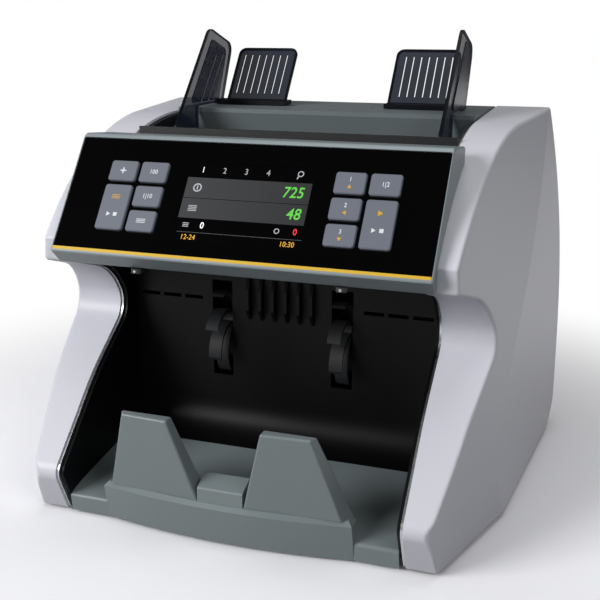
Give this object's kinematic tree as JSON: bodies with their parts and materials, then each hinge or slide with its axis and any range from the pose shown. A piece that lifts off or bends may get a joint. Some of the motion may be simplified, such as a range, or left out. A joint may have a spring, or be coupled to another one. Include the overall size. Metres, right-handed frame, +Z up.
{
  "type": "banknote counter",
  "caption": "Table-top banknote counting machine with a top hopper, hinged control head with keys and display, front stacker pocket and finger wheels.",
  "frame": {"origin": "middle of the overall box at the table surface under the feet", "axes": "+X to the machine's right as its user sees it, +Y to the back, +Z up"},
  "size_m": [0.2988, 0.2547, 0.2645],
  "materials": {
    "cover_plastic": "fine satin grain",
    "head_plastic": "satin green-grey",
    "lens_gloss": "polished black",
    "stripe_gold": "satin gold",
    "screen": "polished",
    "key_plastic": "satin",
    "black_plastic": "satin black",
    "rear_plastic": "fine satin grain",
    "smoke_plastic": "clear smoke",
    "steel": "brushed",
    "base_metal": "matt black",
    "rubber": "matt",
    "wheel_plastic": "satin",
    "motor_can": "zinc grey",
    "circuit": "solder mask"
  },
  "bodies": {
    "chassis": {"base_plate": "base_metal", "data_ports": "black_plastic", "drive_belts": "rubber", "exit_hood": "black_plastic", "frame_ties": "steel", "hinge_pins": "steel", "hopper_deck": "head_plastic", "hopper_tub": "black_plastic", "left_frame_plate": "steel", "left_paddle": "head_plastic", "left_side_cover": "cover_plastic", "main_board": "circuit", "main_motor": "motor_can", "power_inlet": "black_plastic", "power_supply": "circuit", "rack_tray": "black_plastic", "rear_cover": "rear_plastic", "rear_path_guide": "black_plastic", "right_frame_plate": "steel", "right_paddle": "head_plastic", "right_side_cover": "cover_plastic", "rubber_feet": "rubber", "sensor_bars": "black_plastic", "shaft_bearings": "steel", "stacker_back_plate": "black_plastic", "stacker_liners": "black_plastic", "stacker_motor": "motor_can", "stacker_tray": "head_plastic", "tray_block": "head_plastic"},
    "head": {"head_housing": "head_plastic", "head_back_cover": "black_plastic", "panel_lens": "lens_gloss", "accent_stripe": "stripe_gold", "display_module": "screen", "keypad_board": "circuit", "head_latches": "black_plastic"},
    "left_guide_body": {"left_guide": "smoke_plastic"},
    "right_guide_body": {"right_guide": "smoke_plastic"},
    "pinion_body": {"guide_pinion": "black_plastic"},
    "stacker_rotor": {"stacker_shaft": "steel", "finger_wheels": "wheel_plastic"},
    "transport_rotor": {"transport_shaft": "steel", "transport_rollers": "rubber"},
    "feed_rotor": {"feed_shaft": "steel", "feed_rollers": "rubber"},
    "pickup_rotor": {"pickup_shaft": "steel", "pickup_rollers": "rubber"},
    "main_rotor": {"main_motor_rotor": "steel"},
    "stacker_drive_rotor": {"stacker_motor_rotor": "steel"},
    "rocker_body": {"power_rocker": "black_plastic"},
    "left_key_outer_top_body": {"left_key_outer_top": "key_plastic"},
    "left_key_outer_tall_body": {"left_key_outer_tall": "key_plastic"},
    "left_key_inner_low_body": {"left_key_inner_low": "key_plastic"},
    "left_key_inner_middle_body": {"left_key_inner_middle": "key_plastic"},
    "left_key_inner_top_body": {"left_key_inner_top": "key_plastic"},
    "right_key_outer_top_body": {"right_key_outer_top": "key_plastic"},
    "right_key_outer_tall_body": {"right_key_outer_tall": "key_plastic"},
    "right_key_inner_low_body": {"right_key_inner_low": "key_plastic"},
    "right_key_inner_middle_body": {"right_key_inner_middle": "key_plastic"},
    "right_key_inner_top_body": {"right_key_inner_top": "key_plastic"}
  },
  "joints": [
    {"name": "head_hinge", "type": "hinge", "parent": "chassis", "child": "head", "pos_m": [0, -0.022, 0.196], "axis": [-1, 0, 0], "range_deg": [0, 60]},
    {"name": "left_key_outer_top_press", "type": "slide", "parent": "head", "child": "left_key_outer_top_body", "axis": [0, 0.809, -0.5878], "range_m": [0, 0.001], "stiffness_N_per_m": 400},
    {"name": "left_key_outer_tall_press", "type": "slide", "parent": "head", "child": "left_key_outer_tall_body", "axis": [0, 0.809, -0.5878], "range_m": [0, 0.001], "stiffness_N_per_m": 400},
    {"name": "left_key_inner_low_press", "type": "slide", "parent": "head", "child": "left_key_inner_low_body", "axis": [0, 0.809, -0.5878], "range_m": [0, 0.001], "stiffness_N_per_m": 400},
    {"name": "left_key_inner_middle_press", "type": "slide", "parent": "head", "child": "left_key_inner_middle_body", "axis": [0, 0.809, -0.5878], "range_m": [0, 0.001], "stiffness_N_per_m": 400},
    {"name": "left_key_inner_top_press", "type": "slide", "parent": "head", "child": "left_key_inner_top_body", "axis": [0, 0.809, -0.5878], "range_m": [0, 0.001], "stiffness_N_per_m": 400},
    {"name": "right_key_outer_top_press", "type": "slide", "parent": "head", "child": "right_key_outer_top_body", "axis": [0, 0.809, -0.5878], "range_m": [0, 0.001], "stiffness_N_per_m": 400},
    {"name": "right_key_outer_tall_press", "type": "slide", "parent": "head", "child": "right_key_outer_tall_body", "axis": [0, 0.809, -0.5878], "range_m": [0, 0.001], "stiffness_N_per_m": 400},
    {"name": "right_key_inner_low_press", "type": "slide", "parent": "head", "child": "right_key_inner_low_body", "axis": [0, 0.809, -0.5878], "range_m": [0, 0.001], "stiffness_N_per_m": 400},
    {"name": "right_key_inner_middle_press", "type": "slide", "parent": "head", "child": "right_key_inner_middle_body", "axis": [0, 0.809, -0.5878], "range_m": [0, 0.001], "stiffness_N_per_m": 400},
    {"name": "right_key_inner_top_press", "type": "slide", "parent": "head", "child": "right_key_inner_top_body", "axis": [0, 0.809, -0.5878], "range_m": [0, 0.001], "stiffness_N_per_m": 400},
    {"name": "left_guide_slide", "type": "slide", "parent": "chassis", "child": "left_guide_body", "axis": [1, 0, 0], "range_m": [-0.008, 0.025]},
    {"name": "right_guide_slide", "type": "slide", "parent": "chassis", "child": "right_guide_body", "axis": [-1, 0, 0], "range_m": [-0.008, 0.025]},
    {"name": "pinion_turn", "type": "hinge", "parent": "chassis", "child": "pinion_body", "pos_m": [0, 0.08, 0.2085], "axis": [0, 0, 1], "range_deg": [-48, 150]},
    {"name": "stacker_spin", "type": "hinge", "parent": "chassis", "child": "stacker_rotor", "pos_m": [0, -0.012, 0.092], "axis": [1, 0, 0], "continuous": true},
    {"name": "transport_spin", "type": "hinge", "parent": "chassis", "child": "transport_rotor", "pos_m": [0, 0.02, 0.14], "axis": [1, 0, 0], "continuous": true},
    {"name": "feed_spin", "type": "hinge", "parent": "chassis", "child": "feed_rotor", "pos_m": [0, 0.036, 0.176], "axis": [1, 0, 0], "continuous": true},
    {"name": "pickup_spin", "type": "hinge", "parent": "chassis", "child": "pickup_rotor", "pos_m": [0, 0.00429, 0.1909], "axis": [1, 0, 0], "continuous": true},
    {"name": "main_motor_spin", "type": "hinge", "parent": "chassis", "child": "main_rotor", "pos_m": [0, 0.072, 0.1], "axis": [1, 0, 0], "continuous": true},
    {"name": "stacker_motor_spin", "type": "hinge", "parent": "chassis", "child": "stacker_drive_rotor", "pos_m": [0, 0.05, 0.072], "axis": [1, 0, 0], "continuous": true},
    {"name": "power_rock", "type": "hinge", "parent": "chassis", "child": "rocker_body", "pos_m": [0.035, 0.1195, 0.062], "axis": [0, 0, 1], "range_deg": [-8, 8]}
  ],
  "couplings": [
    {"joint": "right_guide_slide", "follows": "left_guide_slide", "ratio": 1},
    {"joint": "pinion_turn", "follows": "left_guide_slide", "rad_per_m": 104.17},
    {"joint": "main_motor_spin", "follows": "transport_spin", "ratio": 2},
    {"joint": "feed_spin", "follows": "transport_spin", "ratio": 1},
    {"joint": "pickup_spin", "follows": "transport_spin", "ratio": 1},
    {"joint": "stacker_motor_spin", "follows": "stacker_spin", "ratio": 2}
  ]
}
